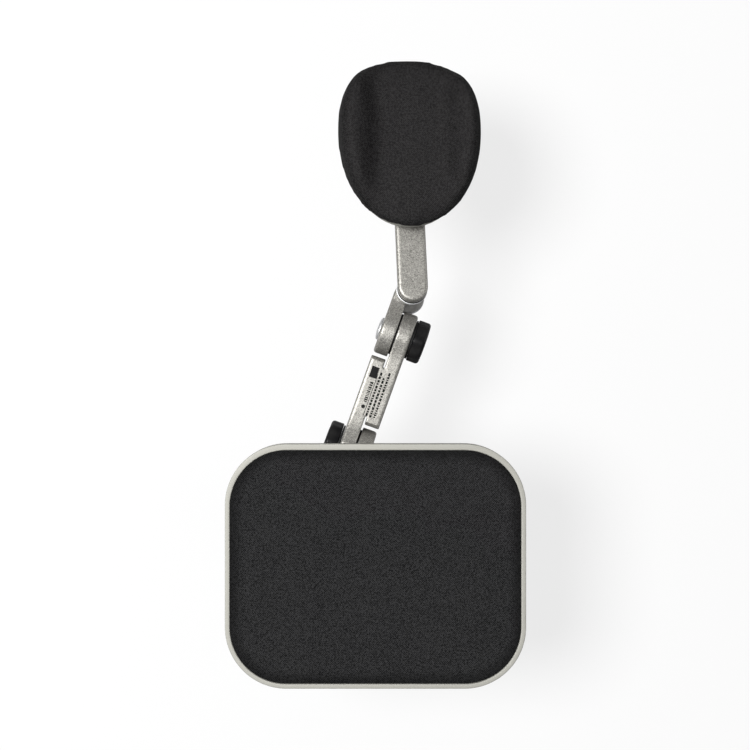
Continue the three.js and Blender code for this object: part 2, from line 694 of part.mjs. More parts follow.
const platformGroup = group([...platform.centre, 0],
  piece('tray_pivot_screw', trayPivotScrew(), zincSteel),
  piece('tray_washer', trayWasher(), blackNylon),
  piece('tray_mount_plate', mountPlate(), zincSteel),
  ...screwPlaces.map((place, i) =>
    piece(`tray_screw_${i + 1}`, countersunkScrew().translate(...place), zincSteel)),
  piece('platform_tray', platformTray(), satinAluminium),
  piece('platform_core', platformCore(), darkBoard),
  piece('mouse_mat', platformBoard(matLow, matLow + platform.mat, platform.matClearance, 0.6),
    blackFabric));

const forearmRest = group([0, 0, 0],
  clampGroup,
  piece('platform_carrier', carrierArm(), silverCasting),
  platformGroup,
  armGroup);

export default forearmRest;
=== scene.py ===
# Clamp-on forearm rest with a mouse platform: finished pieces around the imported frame
import json
import math
import random

import bmesh
import bpy
from mathutils import Matrix, Vector
from mathutils.bvhtree import BVHTree


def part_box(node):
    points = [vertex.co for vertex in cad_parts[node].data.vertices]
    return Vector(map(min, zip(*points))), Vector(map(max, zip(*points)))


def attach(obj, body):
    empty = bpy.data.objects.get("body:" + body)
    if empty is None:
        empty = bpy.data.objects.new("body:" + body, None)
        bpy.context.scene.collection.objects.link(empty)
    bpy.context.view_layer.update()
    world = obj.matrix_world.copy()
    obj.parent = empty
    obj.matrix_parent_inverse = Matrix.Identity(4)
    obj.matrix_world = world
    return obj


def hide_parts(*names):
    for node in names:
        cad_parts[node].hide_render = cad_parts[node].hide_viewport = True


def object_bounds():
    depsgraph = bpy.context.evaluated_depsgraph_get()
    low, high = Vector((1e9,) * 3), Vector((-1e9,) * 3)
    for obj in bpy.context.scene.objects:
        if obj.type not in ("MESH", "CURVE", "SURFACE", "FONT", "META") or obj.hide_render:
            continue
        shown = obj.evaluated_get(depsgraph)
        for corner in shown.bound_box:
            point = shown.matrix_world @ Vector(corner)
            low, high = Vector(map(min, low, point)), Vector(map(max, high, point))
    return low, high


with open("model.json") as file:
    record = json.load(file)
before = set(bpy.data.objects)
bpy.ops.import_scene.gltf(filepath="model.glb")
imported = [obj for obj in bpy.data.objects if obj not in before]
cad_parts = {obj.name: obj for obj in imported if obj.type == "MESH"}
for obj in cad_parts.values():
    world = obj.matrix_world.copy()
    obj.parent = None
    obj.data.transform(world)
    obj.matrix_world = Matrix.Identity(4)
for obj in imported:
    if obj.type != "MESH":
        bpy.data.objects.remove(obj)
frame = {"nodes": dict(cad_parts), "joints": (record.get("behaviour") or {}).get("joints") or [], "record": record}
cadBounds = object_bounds()
nodes = frame["nodes"]
joints = {joint["name"]: joint for joint in frame["joints"]}
mm = 0.001
print("frame loaded:", len(nodes), "nodes")

# camera, floor and light

view = {"x": 0.0293, "y": 0.0963, "height": 1.030, "focal": 57.45}
studio = {
    "floorSize": 12.0, "floorTone": 0.1, "floorGlow": 0.765, "floorBounce": 0.34,
    "worldStrength": 0.5, "horizonTone": 0.16, "zenithStart": 0.85, "backdropTone": 0.97,
    "lights": {
        "key": {"place": (-1.2, 0.33, 2.5), "size": 1.2, "power": 162},
        "rim": {"place": (2.6, 0.5, 0.9), "size": 1.6, "power": 22},
        "side": {"place": (-2.6, 0.3, 0.8), "size": 1.6, "power": 16},
    },
    "aim": (0.03, 0.1, 0.0),
}


def aimAt(place, target):
    turnTo = (Vector(target) - Vector(place)).to_track_quat("-Z", "Y")
    return Matrix.Translation(place) @ turnTo.to_matrix().to_4x4()


def addCamera():
    camera = bpy.data.objects.new("topCamera", bpy.data.cameras.new("topCamera"))
    bpy.context.collection.objects.link(camera)
    camera.location = (view["x"], view["y"], view["height"])
    camera.data.lens = view["focal"]
    camera.data.sensor_width = 36
    camera.data.clip_end = 50
    bpy.context.scene.camera = camera


def addFloor():
    bm = bmesh.new()
    bmesh.ops.create_grid(bm, x_segments=1, y_segments=1, size=studio["floorSize"] / 2)
    bmesh.ops.translate(bm, verts=bm.verts, vec=(0, 0, cadBounds[0][2] - 0.0002))
    mesh = bpy.data.meshes.new("floor")
    bm.to_mesh(mesh)
    bm.free()
    floor = bpy.data.objects.new("floor", mesh)
    bpy.context.collection.objects.link(floor)
    paper = bpy.data.materials.new("floorPaper")
    paper.use_nodes = True
    shader = paper.node_tree.nodes["Principled BSDF"]
    seen = paper.node_tree.nodes.new("ShaderNodeLightPath").outputs["Is Camera Ray"]
    tones = paper.node_tree.nodes.new("ShaderNodeMapRange")
    tones.inputs["To Min"].default_value = studio["floorBounce"]
    tones.inputs["To Max"].default_value = studio["floorTone"]
    glow = paper.node_tree.nodes.new("ShaderNodeMath")
    glow.operation = "MULTIPLY"
    glow.inputs[1].default_value = studio["floorGlow"]
    shader.inputs["Emission Color"].default_value = (1, 1, 1, 1)
    paper.node_tree.links.new(seen, tones.inputs["Value"])
    paper.node_tree.links.new(seen, glow.inputs[0])
    paper.node_tree.links.new(tones.outputs["Result"], shader.inputs["Base Color"])
    paper.node_tree.links.new(glow.outputs[0], shader.inputs["Emission Strength"])
    shader.inputs["Roughness"].default_value = 0.9
    shader.inputs["Specular IOR Level"].default_value = 0.1
    mesh.materials.append(paper)


def addLights():
    world = bpy.data.worlds.new("studio")
    bpy.context.scene.world = world
    world.use_nodes = True
    tree = world.node_tree
    background = tree.nodes["Background"]
    background.inputs["Strength"].default_value = studio["worldStrength"]
    coordinates = tree.nodes.new("ShaderNodeTexCoord")
    split = tree.nodes.new("ShaderNodeSeparateXYZ")
    ramp = tree.nodes.new("ShaderNodeValToRGB")
    dim = studio["horizonTone"]
    ramp.color_ramp.elements[0].position = 0.0
    ramp.color_ramp.elements[0].color = (dim, dim, dim * 1.02, 1)
    ramp.color_ramp.elements[1].position = studio["zenithStart"]
    ramp.color_ramp.elements[1].color = (1, 1, 1, 1)
    tree.links.new(coordinates.outputs["Generated"], split.inputs["Vector"])
    tree.links.new(split.outputs["Z"], ramp.inputs["Fac"])
    tree.links.new(ramp.outputs["Color"], background.inputs["Color"])
    backdrop = tree.nodes.new("ShaderNodeBackground")
    backdrop.inputs["Color"].default_value = (*[studio["backdropTone"]] * 3, 1)
    seen = tree.nodes.new("ShaderNodeLightPath").outputs["Is Camera Ray"]
    chosen = tree.nodes.new("ShaderNodeMixShader")
    tree.links.new(seen, chosen.inputs[0])
    tree.links.new(background.outputs[0], chosen.inputs[1])
    tree.links.new(backdrop.outputs[0], chosen.inputs[2])
    tree.links.new(chosen.outputs[0], tree.nodes["World Output"].inputs["Surface"])

    for name, made in studio["lights"].items():
        light = bpy.data.objects.new(name, bpy.data.lights.new(name, "AREA"))
        bpy.context.collection.objects.link(light)
        light.data.shape = "DISK"
        light.data.size = made["size"]
        light.data.energy = made["power"]
        light.matrix_world = aimAt(made["place"], studio["aim"])
    bpy.context.scene.view_settings.view_transform = "Standard"


addCamera()
addFloor()
addLights()
print("stage set")

# node groups


def addNode(tree, kind, sockets=None, **settings):
    node = tree.nodes.new(kind)
    for name, value in settings.items():
        setattr(node, name, value)
    for name, value in (sockets or {}).items():
        if isinstance(value, bpy.types.NodeSocket):
            tree.links.new(value, node.inputs[name])
        else:
            node.inputs[name].default_value = value
    return node


def mathNode(tree, operation, first, second=0.0):
    return addNode(tree, "ShaderNodeMath", {0: first, 1: second}, operation=operation).outputs[0]


def newGroup(name, inputs, outputs):
    tree = bpy.data.node_groups.new(name, "ShaderNodeTree")
    for label, (kind, value) in inputs.items():
        socket = tree.interface.new_socket(label, in_out="INPUT", socket_type=kind)
        socket.default_value = value
    for label, kind in outputs.items():
        tree.interface.new_socket(label, in_out="OUTPUT", socket_type=kind)
    return tree, tree.nodes.new("NodeGroupInput").outputs, tree.nodes.new("NodeGroupOutput")


floatSocket = "NodeSocketFloat"


# fine even grain, as on powder coat, moulded plastic or blasted metal
def buildGrain():
    tree, given, out = newGroup(
        "fineGrain",
        {"Scale": (floatSocket, 1500.0), "Contrast": (floatSocket, 1.0)},
        {"Height": floatSocket, "Tone": floatSocket},
    )
    place = addNode(tree, "ShaderNodeTexCoord").outputs["Object"]
    fine = addNode(tree, "ShaderNodeTexNoise",
                   {"Vector": place, "Scale": given["Scale"], "Detail": 3.0, "Roughness": 0.6})
    coarse = addNode(tree, "ShaderNodeTexNoise",
                     {"Vector": place, "Scale": mathNode(tree, "MULTIPLY", given["Scale"], 0.45),
                      "Detail": 2.0})
    both = mathNode(tree, "ADD", mathNode(tree, "MULTIPLY", fine.outputs["Fac"], 0.85),
                    mathNode(tree, "MULTIPLY", coarse.outputs["Fac"], 0.15))
    swing = mathNode(tree, "MULTIPLY", mathNode(tree, "SUBTRACT", both, 0.5), given["Contrast"])
    tree.links.new(both, out.inputs["Height"])
    tree.links.new(mathNode(tree, "ADD", swing, 0.5), out.inputs["Tone"])
    return tree


# paint or plating rubbed thin along outer edges
def buildEdgeWear():
    tree, given, out = newGroup(
        "edgeWear", {"Amount": (floatSocket, 0.5), "Breakup": (floatSocket, 400.0)},
        {"Mask": floatSocket}
    )
    place = addNode(tree, "ShaderNodeTexCoord").outputs["Object"]
    edge = addNode(tree, "ShaderNodeMapRange",
                   {"Value": addNode(tree, "ShaderNodeNewGeometry").outputs["Pointiness"],
                    "From Min": 0.515, "From Max": 0.6})
    patches = addNode(tree, "ShaderNodeTexNoise",
                      {"Vector": place, "Scale": given["Breakup"], "Detail": 4.0})
    broken = addNode(tree, "ShaderNodeMapRange",
                     {"Value": patches.outputs["Fac"], "From Min": 0.35, "From Max": 0.65})
    mask = mathNode(tree, "MULTIPLY", edge.outputs["Result"], broken.outputs["Result"])
    tree.links.new(mathNode(tree, "MULTIPLY", mask, given["Amount"]), out.inputs["Mask"])
    return tree


# faint handling marks and settled dust, mostly on upward faces
def buildDust():
    tree, given, out = newGroup(
        "settledDust", {"Amount": (floatSocket, 0.2), "Scale": (floatSocket, 60.0)},
        {"Mask": floatSocket}
    )
    place = addNode(tree, "ShaderNodeTexCoord").outputs["Object"]
    facing = addNode(tree, "ShaderNodeSeparateXYZ",
                     {"Vector": addNode(tree, "ShaderNodeNewGeometry").outputs["Normal"]})
    upward = addNode(tree, "ShaderNodeMapRange",
                     {"Value": facing.outputs["Z"], "From Min": 0.2, "From Max": 1.0,
                      "To Min": 0.35})
    clouds = addNode(tree, "ShaderNodeTexNoise",
                     {"Vector": place, "Scale": given["Scale"], "Detail": 5.0, "Roughness": 0.65})
    patchy = addNode(tree, "ShaderNodeMapRange",
                     {"Value": clouds.outputs["Fac"], "From Min": 0.4, "From Max": 0.7})
    mask = mathNode(tree, "MULTIPLY", upward.outputs["Result"], patchy.outputs["Result"])
    tree.links.new(mathNode(tree, "MULTIPLY", mask, given["Amount"]), out.inputs["Mask"])
    return tree


# close plain weave: threads over and under each other, with fluffy fibres
def buildWeave():
    tree, given, out = newGroup(
        "plainWeave",
        {"Vector": ("NodeSocketVector", (0, 0, 0)), "Threads": (floatSocket, 1300.0),
         "Fuzz": (floatSocket, 0.5), "Nubs": (floatSocket, 700.0)},
        {"Height": floatSocket, "Tone": floatSocket},
    )
    place = addNode(tree, "ShaderNodeTexCoord").outputs["Object"]
    wobble = addNode(tree, "ShaderNodeTexNoise", {"Vector": place, "Scale": 260.0})
    shift = addNode(tree, "ShaderNodeVectorMath",
                    {0: wobble.outputs["Color"], "Scale": 0.0009}, operation="SCALE")
    moved = addNode(tree, "ShaderNodeVectorMath", {0: given["Vector"], 1: shift.outputs[0]},
                    operation="ADD")
    axes = addNode(tree, "ShaderNodeSeparateXYZ", {"Vector": moved.outputs[0]})
    waves = []
    for axis in "XY":
        turns = mathNode(tree, "MULTIPLY", axes.outputs[axis], given["Threads"])
        waves.append(mathNode(tree, "SINE", mathNode(tree, "MULTIPLY", turns, math.pi)))
    crossing = mathNode(tree, "MULTIPLY", *waves)
    threads = mathNode(tree, "MULTIPLY", mathNode(tree, "ADD", crossing, 1.0), 0.5)
    fibres = addNode(tree, "ShaderNodeTexNoise",
                     {"Vector": place, "Scale": 2600.0, "Detail": 3.0})
    fuzz = mathNode(tree, "MULTIPLY", fibres.outputs["Fac"], given["Fuzz"])
    tree.links.new(mathNode(tree, "ADD", threads, fuzz), out.inputs["Height"])
    nubs = addNode(tree, "ShaderNodeTexNoise",
                   {"Vector": place, "Scale": given["Nubs"], "Detail": 3.0,
                    "Roughness": 0.7})
    tone = mathNode(tree, "ADD", mathNode(tree, "MULTIPLY", threads, 0.2),
                    mathNode(tree, "MULTIPLY", nubs.outputs["Fac"], 0.8))
    tree.links.new(tone, out.inputs["Tone"])
    return tree


# painted light: cloth made paler the more it faces up, standing in for light falling on the cushion's top
def buildCrown():
    tree, given, out = newGroup("paintedCrownLight", {"From": (floatSocket, 0.8)}, {"Mask": floatSocket})
    facing = addNode(tree, "ShaderNodeSeparateXYZ",
                     {"Vector": addNode(tree, "ShaderNodeNewGeometry").outputs["Normal"]})
    crownLight = addNode(tree, "ShaderNodeMapRange",
                   {"Value": facing.outputs["Z"], "From Min": given["From"], "From Max": 1.0})
    tree.links.new(crownLight.outputs["Result"], out.inputs["Mask"])
    return tree


groups = {"grain": buildGrain(), "wear": buildEdgeWear(), "dust": buildDust(),
          "weave": buildWeave(), "crown": buildCrown()}


def useGroup(tree, name, **values):
    node = addNode(tree, "ShaderNodeGroup", node_tree=groups[name])
    for label, value in values.items():
        if isinstance(value, bpy.types.NodeSocket):
            tree.links.new(value, node.inputs[label])
        else:
            node.inputs[label].default_value = value
    return node.outputs


# materials

metalFinishes = {
    "castSilver": {
        "slot": "silver_casting", "low": (0.075, 0.0725, 0.066), "high": (0.32, 0.311, 0.286),
        "worn": (0.62, 0.61, 0.58), "metallic": 0.7, "roughness": (0.36, 0.54),
        "grain": 1250, "contrast": 3.4, "bump": 0.25, "depth": 0.00012, "wear": 0.5, "dust": 0.12,
    },
    "satinRim": {
        "slot": "satin_aluminium", "low": (0.17, 0.167, 0.15), "high": (0.26, 0.256, 0.23),
        "worn": (0.3, 0.296, 0.27), "metallic": 0.35, "roughness": (0.55, 0.7),
        "grain": 2600, "contrast": 1.2, "bump": 0.12, "depth": 0.00006, "wear": 0.25, "dust": 0.08,
    },
    "zincSteel": {
        "slot": "zinc_steel", "low": (0.34, 0.345, 0.35), "high": (0.5, 0.505, 0.51),
        "worn": (0.65, 0.65, 0.65), "metallic": 0.85, "roughness": (0.34, 0.5),
        "grain": 1900, "contrast": 1.4, "bump": 0.1, "depth": 0.00005, "wear": 0.3, "dust": 0.1,
    },
    "turnedBrass": {
        "slot": "brass", "low": (0.42, 0.27, 0.09), "high": (0.6, 0.42, 0.17),
        "worn": (0.75, 0.58, 0.3), "metallic": 1.0, "roughness": (0.22, 0.4),
        "grain": 1700, "contrast": 1.2, "bump": 0.1, "depth": 0.00005, "wear": 0.2, "dust": 0.15,
    },
}
mouldedFinishes = {
    "blackPlastic": {
        "slot": "black_plastic", "low": (0.001, 0.001, 0.0012), "high": (0.004, 0.004, 0.0044),
        "worn": (0.02, 0.02, 0.021), "metallic": 0.0, "roughness": (0.3, 0.42), "specular": 0.1,
        "grain": 2400, "contrast": 1.2, "bump": 0.3, "depth": 0.00008, "wear": 0.3, "dust": 0.02,
    },
    "blackNylon": {
        "slot": "black_nylon", "low": (0.003, 0.003, 0.003), "high": (0.01, 0.01, 0.0105),
        "worn": (0.03, 0.03, 0.03), "metallic": 0.0, "roughness": (0.45, 0.6), "specular": 0.2,
        "grain": 1800, "contrast": 1.0, "bump": 0.2, "depth": 0.00005, "wear": 0.2, "dust": 0.02,
    },
    "blackRubber": {
        "slot": "black_rubber", "low": (0.004, 0.004, 0.0042), "high": (0.012, 0.012, 0.0125),
        "worn": (0.035, 0.035, 0.035), "metallic": 0.0, "roughness": (0.7, 0.9), "specular": 0.3,
        "grain": 1300, "contrast": 1.5, "bump": 0.5, "depth": 0.00012, "wear": 0.35, "dust": 0.06,
    },
    "printedInk": {
        "slot": "black_plastic", "low": (0.0012, 0.0012, 0.0012), "high": (0.005, 0.005, 0.005),
        "worn": (0.02, 0.02, 0.02), "metallic": 0.0, "roughness": (0.6, 0.75), "specular": 0.1,
        "grain": 2200, "contrast": 1.5, "bump": 0.1, "depth": 0.00003, "wear": 0.2, "dust": 0.01,
    },
    "darkBoard": {
        "slot": "dark_board", "low": (0.02, 0.018, 0.016), "high": (0.05, 0.046, 0.042),
        "worn": (0.1, 0.09, 0.08), "metallic": 0.0, "roughness": (0.7, 0.85),
        "grain": 700, "contrast": 1.6, "bump": 0.4, "depth": 0.0001, "wear": 0.2, "dust": 0.2,
    },
}


def newMaterial(name):
    material = bpy.data.materials.new(name)
    material.use_nodes = True
    tree = material.node_tree
    return material, tree, tree.nodes["Principled BSDF"]


def mixColours(tree, factor, first, second, blend="MIX"):
    node = addNode(tree, "ShaderNodeMix", data_type="RGBA", blend_type=blend)
    for place, value in zip((0, 6, 7), (factor, first, second)):
        if isinstance(value, bpy.types.NodeSocket):
            tree.links.new(value, node.inputs[place])
        else:
            node.inputs[place].default_value = value
    return node.outputs[2]


def hardFinish(name, look):
    material, tree, shader = newMaterial(name)
    grain = useGroup(tree, "grain", Scale=float(look["grain"]), Contrast=look["contrast"])
    wear = useGroup(tree, "wear", Amount=look["wear"])
    dust = useGroup(tree, "dust", Amount=look["dust"])
    base = mixColours(tree, grain["Tone"], (*look["low"], 1), (*look["high"], 1))
    worn = mixColours(tree, wear["Mask"], base, (*look["worn"], 1))
    dusty = mixColours(tree, dust["Mask"], worn, (0.35, 0.34, 0.32, 1))
    tree.links.new(dusty, shader.inputs["Base Color"])
    smooth, rough = look["roughness"]
    spread = addNode(tree, "ShaderNodeMapRange",
                     {"Value": grain["Tone"], "To Min": smooth, "To Max": rough})
    softened = mathNode(tree, "ADD", spread.outputs["Result"],
                        mathNode(tree, "MULTIPLY", dust["Mask"], 0.5))
    tree.links.new(softened, shader.inputs["Roughness"])
    shader.inputs["Metallic"].default_value = look["metallic"]
    shader.inputs["Specular IOR Level"].default_value = look.get("specular", 0.5)
    bump = addNode(tree, "ShaderNodeBump",
                   {"Strength": look["bump"], "Distance": look["depth"], "Height": grain["Height"]})
    tree.links.new(bump.outputs["Normal"], shader.inputs["Normal"])
    return {"material": material, "slot": look["slot"]}


# cloth looks: the border tone is the darkest painted shade along the mat's rim, where 1 leaves that shade out
clothLooks = {
    "matCloth": {"low": (0.0006, 0.0006, 0.0007), "high": (0.019, 0.019, 0.0196), "threads": 1100,
                 "nubs": 900, "spread": 0.09, "fuzz": 0.6, "bump": 0.8, "depth": 0.0003,
                 "sheen": 0.02, "onUv": False, "crownLight": 0.0, "border": 0.42},
    "cushionCloth": {"low": (0.0002, 0.0002, 0.0002), "high": (0.0122, 0.0117, 0.0119),
                     "threads": 1250, "nubs": 760, "spread": 0.05, "fuzz": 0.5, "bump": 0.5,
                     "depth": 0.00025, "sheen": 0.02, "onUv": True, "crownLight": 0.1, "border": 1.0},
}


def clothFinish(name, look):
    material, tree, shader = newMaterial(name)
    coordinates = addNode(tree, "ShaderNodeTexCoord").outputs["UV" if look["onUv"] else "Object"]
    weave = useGroup(tree, "weave", Vector=coordinates, Threads=float(look["threads"]),
                     Fuzz=look["fuzz"], Nubs=float(look["nubs"]))
    dust = useGroup(tree, "dust", Amount=0.012, Scale=35.0)
    contrast = addNode(tree, "ShaderNodeMapRange",
                       {"Value": weave["Tone"], "From Min": 0.5 - look["spread"],
                        "From Max": 0.5 + look["spread"]})
    base = mixColours(tree, contrast.outputs["Result"], (*look["low"], 1), (*look["high"], 1))
    # painted light: the cloth's upward faces made paler (the cushion's weight only; the mat's weight is 0)
    crownLightMask = mathNode(tree, "MULTIPLY", useGroup(tree, "crown")["Mask"], look["crownLight"])
    paintedLightAndShade = mixColours(tree, crownLightMask, base, (0.045, 0.044, 0.044, 1), "ADD")
    # painted shade: the mat darkened in a band along its rim, where the tray rim would shade it
    if look["border"] < 1:
        inward = addNode(tree, "ShaderNodeSeparateXYZ",
                         {"Vector": addNode(tree, "ShaderNodeTexCoord").outputs["UV"]})
        shade = addNode(tree, "ShaderNodeMapRange",
                        {"Value": inward.outputs["X"], "To Min": look["border"]},
                        interpolation_type="SMOOTHSTEP")
        paintedLightAndShade = mixColours(tree, 1.0, paintedLightAndShade, shade.outputs["Result"], "MULTIPLY")
    dusty = mixColours(tree, dust["Mask"], paintedLightAndShade, (0.09, 0.088, 0.085, 1))
    tree.links.new(dusty, shader.inputs["Base Color"])
    shader.inputs["Roughness"].default_value = 0.92
    shader.inputs["Specular IOR Level"].default_value = 0.08
    shader.inputs["Sheen Weight"].default_value = look["sheen"]
    shader.inputs["Sheen Roughness"].default_value = 0.5
    shader.inputs["Sheen Tint"].default_value = (0.5, 0.48, 0.48, 1)
    bump = addNode(tree, "ShaderNodeBump",
                   {"Strength": look["bump"], "Distance": look["depth"], "Height": weave["Height"]})
    tree.links.new(bump.outputs["Normal"], shader.inputs["Normal"])
    return {"material": material, "slot": "black_fabric"}


hardLooks = {**metalFinishes, **mouldedFinishes}
finishes = {name: hardFinish(name, look) for name, look in hardLooks.items()}
finishes.update({name: clothFinish(name, look) for name, look in clothLooks.items()})
finishOfSlot = {finish["slot"]: finish for name, finish in finishes.items() if name != "printedInk"}
print("materials ready:", len(finishes))

# places: each has its Z along a joint's axis


def placeAlong(origin, along, up):
    y = Vector(along).normalized()
    x = y.cross(Vector(up)).normalized()
    place = Matrix((x, y, x.cross(y))).transposed().to_4x4()
    place.translation = Vector(origin)
    return place


pivot = {name: Vector(joint["pos_m"]) for name, joint in joints.items() if "pos_m" in joint}
axisOf = {name: Vector(joint["axis"]).normalized() for name, joint in joints.items()}
up = Vector((0, 0, 1))
forward = Vector((0, 1, 0))
armLine = pivot["upper_tilt"] - pivot["lower_tilt"]
barLine = pivot["pad_swivel"] - pivot["bar_swivel"]
barLine -= barLine.project(axisOf["bar_swivel"])

clampPlace = placeAlong((0, pivot["clamp_turn"].y, 0), forward, up)
postPlace = placeAlong((0, 0, 0), forward, up)
platformPlace = placeAlong((pivot["platform_turn"].x, pivot["platform_turn"].y, 0), forward, up)
linkPlace = placeAlong(pivot["lower_tilt"], armLine, up)
lowerBoltPlace = placeAlong(pivot["lower_tilt"], armLine, axisOf["lower_knob_turn"])
upperBoltPlace = placeAlong(pivot["upper_tilt"], armLine, axisOf["upper_knob_turn"])
boltPlaces = {"lower": lowerBoltPlace, "upper": upperBoltPlace}
swivelPlace = placeAlong(pivot["bar_swivel"], barLine, axisOf["bar_swivel"])
padPlace = placeAlong(pivot["pad_swivel"], barLine, axisOf["pad_swivel"])


# a node's reach in a place: heights along its Z, and radii about it
def sizeIn(node, place):
    inverse = place.inverted()
    points = [inverse @ vertex.co for vertex in nodes[node].data.vertices]
    radii = [point.xy.length for point in points]
    return {
        "low": min(point.z for point in points), "high": max(point.z for point in points),
        "inner": min(radii), "outer": max(radii), "points": points,
    }


# mesh tools


def finishPiece(bm, name, body, finish, replaced=(), sharp=40, place=None):
    if place is not None:
        bmesh.ops.transform(bm, matrix=place, verts=bm.verts)
    bmesh.ops.recalc_face_normals(bm, faces=bm.faces)
    mesh = bpy.data.meshes.new(name)
    bm.to_mesh(mesh)
    bm.free()
    mesh.shade_smooth()
    if sharp:
        mesh.set_sharp_from_angle(angle=math.radians(sharp))
    piece = bpy.data.objects.new(name, mesh)
    bpy.context.collection.objects.link(piece)
    mesh.materials.append(finishes[finish]["material"])
    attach(piece, body)
    if replaced:
        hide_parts(*replaced)
    return piece


def turn(profile, steps=80):
    bm = bmesh.new()
    line = [bm.verts.new((radius, 0, height)) for radius, height in profile]
    edges = [bm.edges.new(pair) for pair in zip(line, line[1:])]
    bmesh.ops.spin(bm, geom=line + edges, cent=(0, 0, 0), axis=(0, 0, 1), dvec=(0, 0, 0),
                   angle=2 * math.pi, steps=steps, use_merge=True, use_duplicate=False)
    bmesh.ops.remove_doubles(bm, verts=bm.verts, dist=1e-6)
    return bm


def roundEdges(bm, width, segments=3, angle=30):
    limit = math.radians(angle)
    sharp = [edge for edge in bm.edges if edge.is_manifold and edge.calc_face_angle(0) > limit]
    bmesh.ops.bevel(bm, geom=sharp, offset=width, offset_type="OFFSET", segments=segments,
                    profile=0.5, affect="EDGES", material=-1, clamp_overlap=True)


def ringPiece(name, node, body, finish, place, trim=0.0, swell=0.0, edge=0.25 * mm):
    reach = sizeIn(node, place)
    low, high, inner, outer = (reach[key] for key in ("low", "high", "inner", "outer"))
    low, high, outer = low - swell, high + swell, outer - trim
    profile = [(inner, low), (outer, low), (outer, high), (inner, high)]
    bm = turn(profile + [profile[0]] * (inner > 1e-5))
    roundEdges(bm, edge)
    return finishPiece(bm, name, body, finish, (node,), place=place)


# a copy of a casting, its edges rounded as sand or die casting leaves them
def castPiece(name, node, body, finish, voxel, rounds):
    bm = bmesh.new()
    bm.from_mesh(nodes[node].data)
    bmesh.ops.remove_doubles(bm, verts=bm.verts, dist=1e-6)
    bmesh.ops.recalc_face_normals(bm, faces=bm.faces)
    piece = finishPiece(bm, name, body, finish, (node,), sharp=0)
    remesh = piece.modifiers.new("skin", "REMESH")
    remesh.mode = "VOXEL"
    remesh.voxel_size = voxel
    remesh.use_smooth_shade = True
    smooth = piece.modifiers.new("softEdges", "SMOOTH")
    smooth.factor = 0.5
    smooth.iterations = rounds
    keepModifiers(piece)
    return piece


def keepModifiers(piece):
    shown = piece.evaluated_get(bpy.context.evaluated_depsgraph_get())
    mesh = bpy.data.meshes.new_from_object(shown)
    piece.modifiers.clear()
    old = piece.data
    piece.data = mesh
    mesh.name = old.name
    bpy.data.meshes.remove(old)


# castings

castings = {
    "clampFrame": ("clamp_frame", "clamp", 0.7 * mm, 6),
    "lowerKnuckle": ("lower_knuckle", "base_knuckle", 0.5 * mm, 6),
    "upperKnuckle": ("upper_knuckle", "end_knuckle", 0.5 * mm, 6),
    "middleLink": ("middle_link", "link", 0.55 * mm, 6),
    "topBar": ("top_bar", "forearm_bar", 0.55 * mm, 4),
    "platformCarrier": ("platform_carrier", "carrier", 0.7 * mm, 5),
}


def addCastings():
    for name, (node, body, voxel, rounds) in castings.items():
        piece = castPiece(name, node, body, "castSilver", voxel, rounds)
        print("  casting", name, len(piece.data.polygons), "faces")


addCastings()
print("castings done")

# plain rings, washers and discs

rings = [
    ("baseWasher", "base_washer", "clamp", "blackNylon", postPlace),
    ("carrierWasher", "carrier_washer", "clamp", "blackNylon", postPlace),
    ("trayWasher", "tray_washer", "carrier", "blackNylon", platformPlace),
    ("mountPlate", "tray_mount_plate", "platform", "zincSteel", platformPlace),
    ("padWasher", "pad_washer", "forearm_pad", "blackNylon", padPlace),
    ("lowerLapWasher", "lower_lap_washer", "link", "blackNylon", lowerBoltPlace, 2 * mm,
     0.25 * mm),
    ("upperLapWasher", "upper_lap_washer", "link", "blackNylon", upperBoltPlace, 2 * mm,
     0.25 * mm),
    ("lowerKnobRing", "lower_knob_ring", "link", "blackNylon", lowerBoltPlace),
    ("upperKnobRing", "upper_knob_ring", "link", "blackNylon", upperBoltPlace),
    ("swivelBottomRing", "swivel_bottom_ring", "end_knuckle", "zincSteel", swivelPlace),
    ("swivelLowerWasher", "swivel_lower_washer", "end_knuckle", "blackNylon", swivelPlace),
    ("swivelRing", "swivel_ring", "end_knuckle", "zincSteel", swivelPlace),
    ("swivelUpperWasher", "swivel_upper_washer", "forearm_bar", "blackNylon", swivelPlace),
    ("threadInsert", "thread_insert", "clamp", "turnedBrass", clampPlace),
]


def addRings():
    for ring in rings:
        ringPiece(*ring)


addRings()
print("rings done:", len(rings))

# bolts with button heads at the low end of their place

turnOver = Matrix.Rotation(math.pi, 4, "X")


def screwPlace(node):
    low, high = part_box(node)
    return placeAlong(((low[0] + high[0]) / 2, (low[1] + high[1]) / 2, 0), forward, up)


bolts = {
    f"{side}PivotBolt": {"node": f"{side}_pivot_bolt", "body": body, "place": boltPlaces[side],
                         "head": 2.8 * mm, "rim": 0.8 * mm, "shank": 4 * mm, "socket": 3 * mm}
    for side, body in (("lower", "base_knuckle"), ("upper", "end_knuckle"))
}
bolts.update({
    "swivelBolt": {"node": "swivel_bolt", "body": "forearm_bar", "place": swivelPlace,
                   "head": 4 * mm, "rim": 2 * mm, "shank": 6 * mm, "socket": 3.4 * mm},
    "padPivotBolt": {"node": "pad_pivot_bolt", "body": "forearm_pad", "place": padPlace,
                     "head": 3.5 * mm, "rim": 1 * mm, "shank": 4 * mm, "socket": 2.8 * mm},
    "trayPivotScrew": {"node": "tray_pivot_screw", "body": "platform", "place": platformPlace,
                       "head": 2.7 * mm, "rim": 1.5 * mm, "shank": 4 * mm, "socket": 3 * mm},
    "postCapScrew": {"node": "post_cap_screw", "body": "clamp", "place": postPlace @ turnOver,
                     "head": 2.5 * mm, "rim": 1.2 * mm, "shank": 2.6 * mm, "socket": 3 * mm},
})
for index in range(1, 5):
    node = f"tray_screw_{index}"
    bolts[f"trayScrew{index}"] = {
        "node": node, "body": "platform", "place": screwPlace(node),
        "head": 1.6 * mm, "rim": 1.2 * mm, "shank": 1.7 * mm, "socket": 1.3 * mm,
    }


